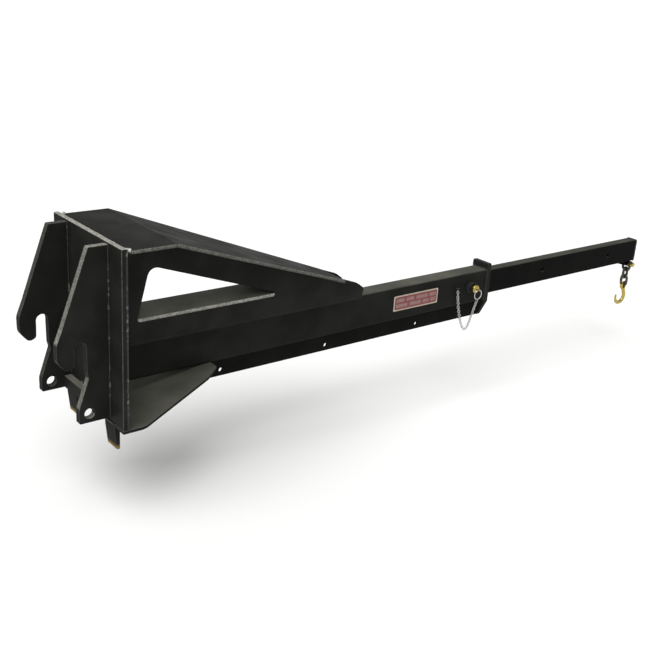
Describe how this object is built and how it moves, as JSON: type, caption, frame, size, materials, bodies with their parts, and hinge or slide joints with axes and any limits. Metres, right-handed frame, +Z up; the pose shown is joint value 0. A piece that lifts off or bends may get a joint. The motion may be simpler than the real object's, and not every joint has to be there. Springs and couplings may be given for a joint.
{
  "type": "loader lifting jib",
  "caption": "Black telescoping lifting jib for a wheel-loader coupler: hooked ears, braced box boom, sliding inner boom, lock pin, shackle, chain and clevis hook.",
  "frame": {"origin": "centre of the back plate's rear face, level with the seats of the two coupler hooks", "axes": "+X along the boom from the coupler to the tip, +Y across to the left side, +Z up"},
  "size_m": [4.5785, 0.698, 1.0916],
  "materials": {
    "frame_paint": "satin black paint",
    "boom_paint": "satin black paint",
    "toe_steel": "worn bare edge under black paint",
    "yellow_zinc": "yellow zinc plate",
    "dark_steel": "oiled dark forged steel",
    "bright_steel": "bright zinc plate",
    "label_vinyl": "printed vinyl",
    "wear_plastic": "machined plastic"
  },
  "bodies": {
    "frame": {"back_plate": "frame_paint", "left_toe": "toe_steel", "right_toe": "toe_steel", "left_ear": "frame_paint", "right_ear": "frame_paint", "lower_cross_bar": "frame_paint", "deck_plate": "frame_paint", "left_web": "frame_paint", "right_web": "frame_paint", "tie_plate": "frame_paint", "saddle_plate": "frame_paint", "outer_tube": "boom_paint", "lower_gusset": "frame_paint", "keel_rib": "frame_paint", "collar_plate": "frame_paint", "pin_boss": "frame_paint", "chain_anchor": "frame_paint", "keeper_chain": "bright_steel", "label_plate": "label_vinyl", "top_wear_pad": "wear_plastic", "bottom_wear_pad": "wear_plastic", "left_wear_pad": "wear_plastic", "right_wear_pad": "wear_plastic"},
    "boom": {"inner_tube": "boom_paint", "tip_cap": "boom_paint", "tip_lug": "boom_paint", "boom_rear_top_pad": "wear_plastic", "boom_rear_bottom_pad": "wear_plastic"},
    "shackle": {"shackle_bow": "dark_steel", "shackle_pin": "yellow_zinc"},
    "upper_link": {"chain_link_1": "dark_steel"},
    "lower_link": {"chain_link_2": "dark_steel"},
    "hook": {"clevis_hook": "yellow_zinc", "clevis_pin": "dark_steel"},
    "lock_pin": {"lock_pin": "yellow_zinc"},
    "pull_ring": {"pull_ring": "bright_steel"}
  },
  "joints": [
    {"name": "boom_slide", "type": "slide", "parent": "frame", "child": "boom", "axis": [1, 0, 0], "range_m": [-1.422, 0.711]},
    {"name": "shackle_swing", "type": "hinge", "parent": "boom", "child": "shackle", "pos_m": [4.278, 0, -0.298], "axis": [0, 1, 0], "range_deg": [-25, 25]},
    {"name": "upper_link_swing", "type": "hinge", "parent": "shackle", "child": "upper_link", "pos_m": [4.278, 0, -0.3525], "axis": [0, 1, 0], "range_deg": [-20, 20]},
    {"name": "lower_link_swing", "type": "hinge", "parent": "upper_link", "child": "lower_link", "pos_m": [4.278, 0, -0.4107], "axis": [1, 0, 0], "range_deg": [-30, 30]},
    {"name": "hook_swing", "type": "hinge", "parent": "lower_link", "child": "hook", "pos_m": [4.278, 0, -0.4521], "axis": [1, 0, 0], "range_deg": [-40, 40]},
    {"name": "lock_pin_slide", "type": "slide", "parent": "frame", "child": "lock_pin", "axis": [0, 1, 0], "range_m": [-0.02, 0.019]},
    {"name": "pull_ring_swing", "type": "hinge", "parent": "lock_pin", "child": "pull_ring", "pos_m": [2.551, -0.1273, -0.19], "axis": [1, 0, 0], "range_deg": [-100, 8]}
  ]
}
